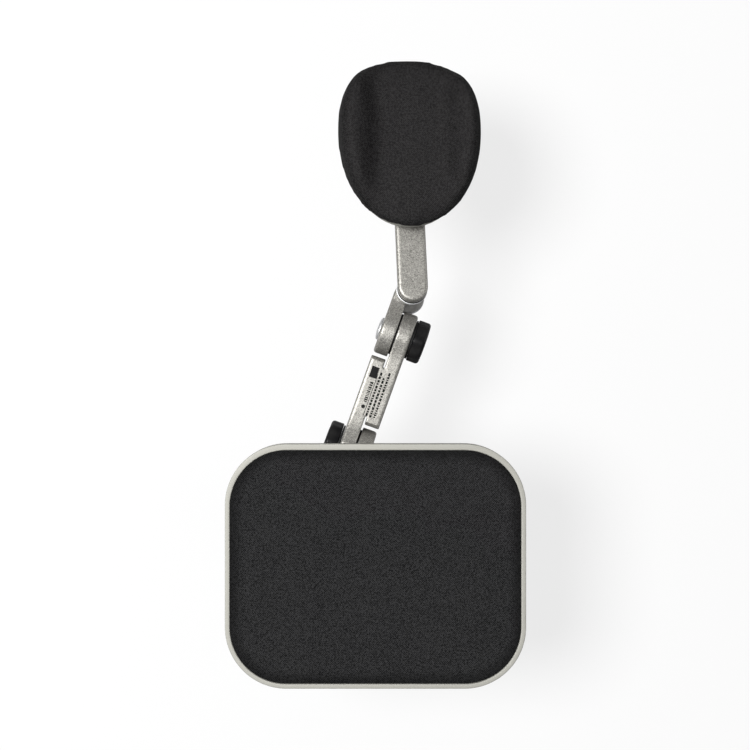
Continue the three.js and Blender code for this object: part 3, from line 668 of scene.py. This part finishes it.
# the vertices of a round recess moved out to a hexagon
def makeHexagon(bm, radius):
    for vertex in bm.verts:
        if abs(vertex.co.xy.length - radius) < 1e-6:
            turned = math.atan2(vertex.co.y, vertex.co.x) % (math.pi / 3) - math.pi / 6
            vertex.co.xy *= math.cos(math.pi / 6) / math.cos(turned)


def addBolts():
    for name, bolt in bolts.items():
        reach = sizeIn(bolt["node"], bolt["place"])
        low, high, radius = reach["low"], reach["high"], reach["outer"]
        seat, dome = low + bolt["head"], bolt["head"] - bolt["rim"]
        socket, shank = bolt["socket"], bolt["shank"]
        profile = [(0, seat - 0.4 * mm), (socket, seat - 0.4 * mm)]
        for step in range(11):
            out = socket * 1.1 + (radius - socket * 1.1) * math.sin(step * math.pi / 20)
            lift = math.sqrt(max(0.0, 1 - (out / radius) ** 2))
            profile.append((out, seat - bolt["rim"] - dome * lift))
        profile.insert(2, (socket, profile[2][1] + 0.2 * mm))
        profile += [(radius, seat - 0.15 * mm), (radius - 0.15 * mm, seat), (shank, seat)]
        profile += [(shank, high - 0.4 * mm), (shank - 0.4 * mm, high), (0, high)]
        bm = turn(profile, steps=96)
        makeHexagon(bm, socket)
        finishPiece(bm, name, bolt["body"], "zincSteel", (bolt["node"],), place=bolt["place"])


addBolts()
print("bolts done:", len(bolts))

# other turned pieces: radius and height, in mm, from the low end or, where negative, the high end

turnedPieces = {
    "basePost": {
        "node": "base_post", "body": "clamp", "finish": "zincSteel", "place": postPlace,
        "profile": [(0, 0), (13.4, 0), (14, 0.6), (14, 4.8), (13.2, 5.6), (6.8, 5.6), (6, 6.2),
                    (6, -0.6), (5.4, -0.01), (0, -0.01)],
    },
    "pressurePlate": {
        "node": "pressure_plate", "body": "clamp_foot", "finish": "zincSteel", "place": clampPlace,
        "profile": [(0, 5.8), (5.7, 5.3), (5.7, 0), (8.1, 0), (8.5, 0.4), (8.5, 3.4), (9.1, 4),
                    (16.4, 4), (18, 5.2), (18, -0.6), (17.4, -0.01), (0, -0.01)],
    },
    "pressurePad": {
        "node": "pressure_pad", "body": "clamp_foot", "finish": "blackRubber", "place": clampPlace,
        "profile": [(0, 0), (17, 0), (17, 1.6), (16.6, 2)]
        + [point for radius in (14, 11, 8, 5) for point in
           ((radius + 0.5, 2), (radius + 0.3, 1.4), (radius - 0.3, 1.4), (radius - 0.5, 2))]
        + [(0, 2)],
    },
    "padHub": {
        "node": "pad_hub", "body": "forearm_pad", "finish": "blackPlastic", "place": padPlace,
        "profile": [(0, 0), (13.6, 0), (14.4, 0.3), (19.5, 2.6), (20, 3.2), (20, 5.6), (19.6, 6),
                    (0, 6)],
    },
}
for side, place in boltPlaces.items():
    turnedPieces[f"{side}KnobFace"] = {
        "node": f"{side}_knob_face", "body": f"{side}_lock", "finish": "blackPlastic",
        "place": place,
        "profile": [(0, 0), (11, 0), (11, 0.7), (10.7, 1), (9, 1), (8.8, 0.8), (8.2, 0.8), (8, 1),
                    (0, 1)],
    }


def addTurned():
    for name, made in turnedPieces.items():
        reach = sizeIn(made["node"], made["place"])
        profile = [(radius * mm, (reach["high"] if height < 0 else reach["low"]) + height * mm)
                   for radius, height in made["profile"]]
        finishPiece(turn(profile, steps=96), name, made["body"], made["finish"], (made["node"],),
                    sharp=35, place=made["place"])


addTurned()
print("turned pieces done:", len(turnedPieces))

# grips: lock knobs and the clamp's handle

grips = {
    f"{side}Knob": {"node": f"{side}_knob", "body": f"{side}_lock", "place": place,
                    "lobes": 8, "depth": 0.7 * mm, "corner": 2.6 * mm, "foot": 0.8 * mm,
                    "recess": 11.3 * mm, "sink": 1 * mm}
    for side, place in boltPlaces.items()
}
grips.update({
    "clampHandle": {"node": "clamp_handle", "body": "clamp_spindle", "place": clampPlace @ turnOver,
                    "lobes": 6, "depth": 2.2 * mm, "corner": 4 * mm, "foot": 2.5 * mm,
                    "recess": 9 * mm, "sink": 0.6 * mm},
})


def arc(centreR, centreZ, radius, start, end, steps=8):
    angles = [math.radians(start + (end - start) * step / steps) for step in range(steps + 1)]
    return [(centreR + radius * math.cos(angle), centreZ + radius * math.sin(angle))
            for angle in angles]


def addGrips():
    for name, grip in grips.items():
        reach = sizeIn(grip["node"], grip["place"])
        low, high, radius = reach["low"], reach["high"], reach["outer"]
        corner, foot, recess, sink = (grip[key] for key in ("corner", "foot", "recess", "sink"))
        profile = [(0, low)] + arc(radius - foot, low + foot, foot, -90, 0)
        profile += arc(radius - corner, high - corner, corner, 0, 90, 10)
        profile += arc(recess + 0.3 * mm, high - 0.3 * mm, 0.3 * mm, 90, 180, 3)
        profile += [(recess, high - sink), (0, high - sink)]
        bm = turn(profile, steps=168)
        for vertex in bm.verts:
            out = vertex.co.xy.length
            if out > recess + 0.5 * mm:
                angle = math.atan2(vertex.co.y, vertex.co.x)
                near = min(1.0, (out - recess) / (radius - recess))
                cut = grip["depth"] * near ** 2 * (0.5 - 0.5 * math.cos(grip["lobes"] * angle))
                vertex.co.xy *= 1 - cut / out
        finishPiece(bm, name, grip["body"], "blackPlastic", (grip["node"],), place=grip["place"])


addGrips()
print("grips done:", len(grips))

# clamp screw: a core with a ball end, and a helical ridge cut to the record's pitch

spindle = {"core": 4.25 * mm, "crest": 5 * mm, "ball": 5.2 * mm, "pitch": 2 * mm, "flat": 0.35 * mm,
           "start": 17.5 * mm, "stop": 13.5 * mm, "steps": 36}


def addSpindle():
    reach = sizeIn("clamp_screw", clampPlace)
    low, high = reach["low"], reach["high"]
    core, ball = spindle["core"], spindle["ball"]
    centre = high - ball
    waist = math.degrees(math.acos(core / ball))
    profile = [(0, low), (core, low)] + arc(0, centre, ball, -waist, 90, 14)
    profile[-1] = (0, high)
    bm = turn(profile, steps=48)
    finishPiece(bm, "clampSpindle", "clamp_spindle", "zincSteel", ("clamp_screw",),
                place=clampPlace)

    length = high - low - spindle["start"] - spindle["stop"]
    turns = length / spindle["pitch"]
    steps = round(turns * spindle["steps"])
    half = spindle["pitch"] / 2
    base = low + spindle["start"]
    section = [(core - 0.3 * mm, -half * 0.9), (core - 0.3 * mm, half * 0.9),
               (spindle["crest"], spindle["flat"] / 2), (spindle["crest"], -spindle["flat"] / 2)]
    bm = bmesh.new()
    face = bm.faces.new([bm.verts.new((radius, 0, base + height)) for radius, height in section])
    bmesh.ops.spin(bm, geom=[face], cent=(0, 0, 0), axis=(0, 0, 1),
                   dvec=(0, 0, length / steps), angle=2 * math.pi * turns, steps=steps,
                   use_merge=False, use_duplicate=False)
    finishPiece(bm, "clampThread", "clamp_spindle", "zincSteel", place=clampPlace, sharp=25)


addSpindle()
print("clamp screw done")

# platform tray, mat, desk pad and pad tray

# the border is the width of the band of painted shade along the mat's rim
platform = {"cornerRadius": 49 * mm, "wall": 3.8 * mm, "floor": 2.5 * mm, "edge": 0.7 * mm,
            "matEdge": 0.9 * mm, "matCorner": 45 * mm, "farGap": 1.2 * mm,
            "border": 11 * mm, "trayTuck": 0.94, "trayVoxel": 0.9 * mm, "trayRounds": 3}


def roundedBlock(low, high, radius, segments=28):
    bm = bmesh.new()
    bmesh.ops.create_cube(bm, size=1)
    span = [top - bottom for bottom, top in zip(low, high)]
    bmesh.ops.scale(bm, verts=bm.verts, vec=span)
    bmesh.ops.translate(bm, verts=bm.verts, vec=[(a + b) / 2 for a, b in zip(low, high)])
    upright = [edge for edge in bm.edges
               if (edge.verts[0].co - edge.verts[1].co).xy.length < 1e-9]
    bmesh.ops.bevel(bm, geom=upright, offset=radius, offset_type="OFFSET", segments=segments,
                    profile=0.5, affect="EDGES", material=-1)
    return bm


def topFace(bm):
    return max(bm.faces, key=lambda face: face.calc_center_median().z + face.normal.z)


# the far rim is the widest
def pullBack(verts, middle):
    for vertex in verts:
        if vertex.co.y > middle:
            vertex.co.y -= platform["farGap"]


def addPlatform():
    low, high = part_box("platform_tray")
    bm = roundedBlock(low, high, platform["cornerRadius"])
    bm.normal_update()
    lid = topFace(bm)
    bmesh.ops.inset_region(bm, faces=[lid], thickness=platform["wall"], use_even_offset=True)
    pullBack(lid.verts, (low[1] + high[1]) / 2)
    depth = high[2] - low[2] - platform["floor"]
    sunk = bmesh.ops.extrude_face_region(bm, geom=[lid])["geom"]
    bmesh.ops.delete(bm, geom=[lid], context="FACES_ONLY")
    bmesh.ops.translate(bm, verts=[item for item in sunk if isinstance(item, bmesh.types.BMVert)],
                        vec=(0, 0, -depth))
    roundEdges(bm, platform["edge"], segments=5, angle=50)
    finishPiece(bm, "platformTray", "platform", "satinRim", ("platform_tray",))

    low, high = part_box("mouse_mat")
    bm = roundedBlock(low, high, platform["matCorner"])
    pullBack(bm.verts, (low[1] + high[1]) / 2)
    roundEdges(bm, platform["matEdge"], segments=5, angle=50)
    bm.normal_update()
    inside = topFace(bm)
    # the band for the mat's painted shade along its rim: its UV runs from 0 at the rim to 1 at the inset
    bmesh.ops.inset_region(bm, faces=[inside], thickness=platform["border"], use_even_offset=True)
    layer = bm.loops.layers.uv.new("inward")
    for loop in (loop for vertex in inside.verts for loop in vertex.link_loops):
        loop[layer].uv = (1, 0)
    finishPiece(bm, "mouseMat", "platform", "matCloth", ("mouse_mat",))


def addSoftenedCopies():
    bm = bmesh.new()
    bm.from_mesh(nodes["desk_pad"].data)
    bmesh.ops.remove_doubles(bm, verts=bm.verts, dist=1e-6)
    bmesh.ops.dissolve_limit(bm, angle_limit=0.02, verts=bm.verts, edges=bm.edges)
    roundEdges(bm, 0.4 * mm, segments=2, angle=50)
    finishPiece(bm, "deskPad", "clamp", "blackRubber", ("desk_pad",))
    tray = castPiece("padTray", "pad_tray", "forearm_pad", "satinRim", platform["trayVoxel"],
                     platform["trayRounds"])
    for vertex in tray.data.vertices:
        place = padPlace.inverted() @ vertex.co
        place.x *= platform["trayTuck"]
        vertex.co = padPlace @ place


addPlatform()
addSoftenedCopies()
print("platform, mat and trays done")

# forearm cushion: swollen by cloth pressure over its pinned base

cushion = {
    "voxel": 3.0 * mm, "grow": 1.019, "lean": 1.0 * mm, "pressure": 2.0, "frames": 16,
    "cap": 3.2 * mm, "pinned": 4 * mm, "fill": 0.85, "smooth": 7, "settle": 4, "crown": 0.45,
    "ease": 26,
}


def inPlace(point):
    return padPlace.inverted() @ point


def swell(piece):
    start = [vertex.co.copy() for vertex in piece.data.vertices]
    pins = piece.vertex_groups.new(name="base")
    base = min(inPlace(point).z for point in start)
    pins.add([index for index, point in enumerate(start)
              if inPlace(point).z < base + cushion["pinned"]], 1.0, "REPLACE")
    cloth = piece.modifiers.new("filling", "CLOTH")
    cloth.settings.effector_weights.gravity = 0
    cloth.settings.use_pressure = True
    cloth.settings.uniform_pressure_force = cushion["pressure"]
    cloth.settings.vertex_group_mass = "base"
    cloth.settings.quality = 6
    cloth.point_cache.frame_end = cushion["frames"]
    for shown in range(1, cushion["frames"] + 1):
        bpy.context.scene.frame_set(shown)
    keepModifiers(piece)
    bpy.context.scene.frame_set(1)
    for vertex, first in zip(piece.data.vertices, start):
        step = vertex.co - first
        if step.length > cushion["cap"]:
            vertex.co = first + step.normalized() * cushion["cap"]


# flat from above on the crown, and wound round the sides
def addClothMap(piece):
    mesh = piece.data
    layer = mesh.uv_layers.new(name="cloth")
    middle = inPlace(sum((vertex.co for vertex in mesh.vertices), Vector()) / len(mesh.vertices))
    turnBack = padPlace.inverted().to_3x3()
    for face in mesh.polygons:
        crown = (turnBack @ face.normal).z > 0.45
        for corner in face.loop_indices:
            place = inPlace(mesh.vertices[mesh.loops[corner].vertex_index].co) - middle
            if crown:
                layer.data[corner].uv = (place.x, place.y)
            else:
                layer.data[corner].uv = (math.atan2(place.y, place.x) * 0.06, place.z)


def addCushion():
    bm = bmesh.new()
    bm.from_mesh(nodes["pad_cushion"].data)
    bmesh.ops.remove_doubles(bm, verts=bm.verts, dist=1e-6)
    bmesh.ops.recalc_face_normals(bm, faces=bm.faces)
    low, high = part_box("pad_cushion")
    middle = Matrix.Translation([(a + b) / 2 for a, b in zip(low, high)])
    grown = middle @ Matrix.Scale(cushion["grow"], 4) @ middle.inverted()
    bmesh.ops.transform(bm, matrix=grown, verts=bm.verts)
    bmesh.ops.translate(bm, verts=bm.verts, vec=(0, -cushion["lean"], 0))
    piece = finishPiece(bm, "forearmCushion", "forearm_pad", "cushionCloth", ("pad_cushion",),
                        sharp=0)
    curve = piece.modifiers.new("curve", "SUBSURF")
    curve.levels = curve.render_levels = 2
    remesh = piece.modifiers.new("skin", "REMESH")
    remesh.mode = "VOXEL"
    remesh.voxel_size = cushion["voxel"]
    smooth = piece.modifiers.new("ease", "SMOOTH")
    smooth.factor = 0.5
    smooth.iterations = cushion["smooth"]
    keepModifiers(piece)
    swell(piece)
    crown = piece.vertex_groups.new(name="crown")
    turnBack = padPlace.inverted().to_3x3()
    crown.add([vertex.index for vertex in piece.data.vertices
               if (turnBack @ vertex.normal).z > cushion["crown"]], 1.0, "REPLACE")
    passes = (("dish", cushion["ease"], "crown"), ("settle", cushion["settle"], ""))
    for name, rounds, group in passes:
        settle = piece.modifiers.new(name, "SMOOTH")
        settle.factor = 0.5
        settle.iterations = rounds
        settle.vertex_group = group
    subdivide = piece.modifiers.new("round", "SUBSURF")
    subdivide.levels = subdivide.render_levels = 1
    keepModifiers(piece)
    piece.data.shade_smooth()
    addClothMap(piece)


addCushion()
print("cushion done")

# marks printed on the link: a plain block, a dot, rules and rows of dashes

inkPrint = {"lift": 0.04 * mm, "cell": 0.9 * mm, "seed": 7}
marks = [
    ((-6.2, 66.5), (6.2, 9.4)),
    ((-2.8, 48.0), (0.5, 36.0)),
]
dashRows = [
    {"across": -5.2, "start": 41.0, "stop": 57.0, "height": 2.8, "longest": 1.6},
    {"across": -0.4, "start": 30.5, "stop": 65.5, "height": 1.8, "longest": 2.8},
    {"across": 2.9, "start": 30.5, "stop": 63.0, "height": 1.8, "longest": 2.8},
    {"across": 6.2, "start": 31.0, "stop": 68.5, "height": 1.8, "longest": 2.8},
]


def addMarks():
    rng = random.Random(inkPrint["seed"])
    patches = list(marks)
    for row in dashRows:
        along = row["start"]
        while along < row["stop"]:
            length = rng.uniform(0.35, 1.0) * row["longest"]
            patches.append(((row["across"], along + length / 2), (row["height"], length)))
            along += length + rng.uniform(0.5, 0.9)
    link = bpy.data.objects["middleLink"]
    tree = BVHTree.FromPolygons([vertex.co for vertex in link.data.vertices],
                                [face.vertices for face in link.data.polygons])
    bm = bmesh.new()
    for (across, along), (wide, long) in patches:
        cells = [max(1, math.ceil(side * mm / inkPrint["cell"])) for side in (wide, long)]
        size = Matrix.Diagonal((wide * mm / 2, long * mm / 2, 1, 1))
        place = linkPlace @ Matrix.Translation((across * mm, along * mm, 40 * mm)) @ size
        bmesh.ops.create_grid(bm, x_segments=cells[0], y_segments=cells[1], size=1, matrix=place)
    disc = linkPlace @ Matrix.Translation((-5.4 * mm, 37 * mm, 40 * mm))
    bmesh.ops.create_circle(bm, cap_ends=True, segments=24, radius=1.6 * mm, matrix=disc)
    down = Vector((0, 0, -1))
    for vertex in bm.verts:
        hit = tree.ray_cast(vertex.co, down)
        vertex.co = hit[0] + up * inkPrint["lift"]
    finishPiece(bm, "linkPrint", "link", "printedInk", sharp=0)


addMarks()
print("printed marks done")

# everything not replaced keeps its CAD shape under its own finish


def paintFrame():
    slotOf = {part["node"]: part["material_slot"] for part in frame["record"]["subparts"]}
    for name, obj in nodes.items():
        obj.data.materials.clear()
        obj.data.materials.append(finishOfSlot[slotOf[name]]["material"])


paintFrame()
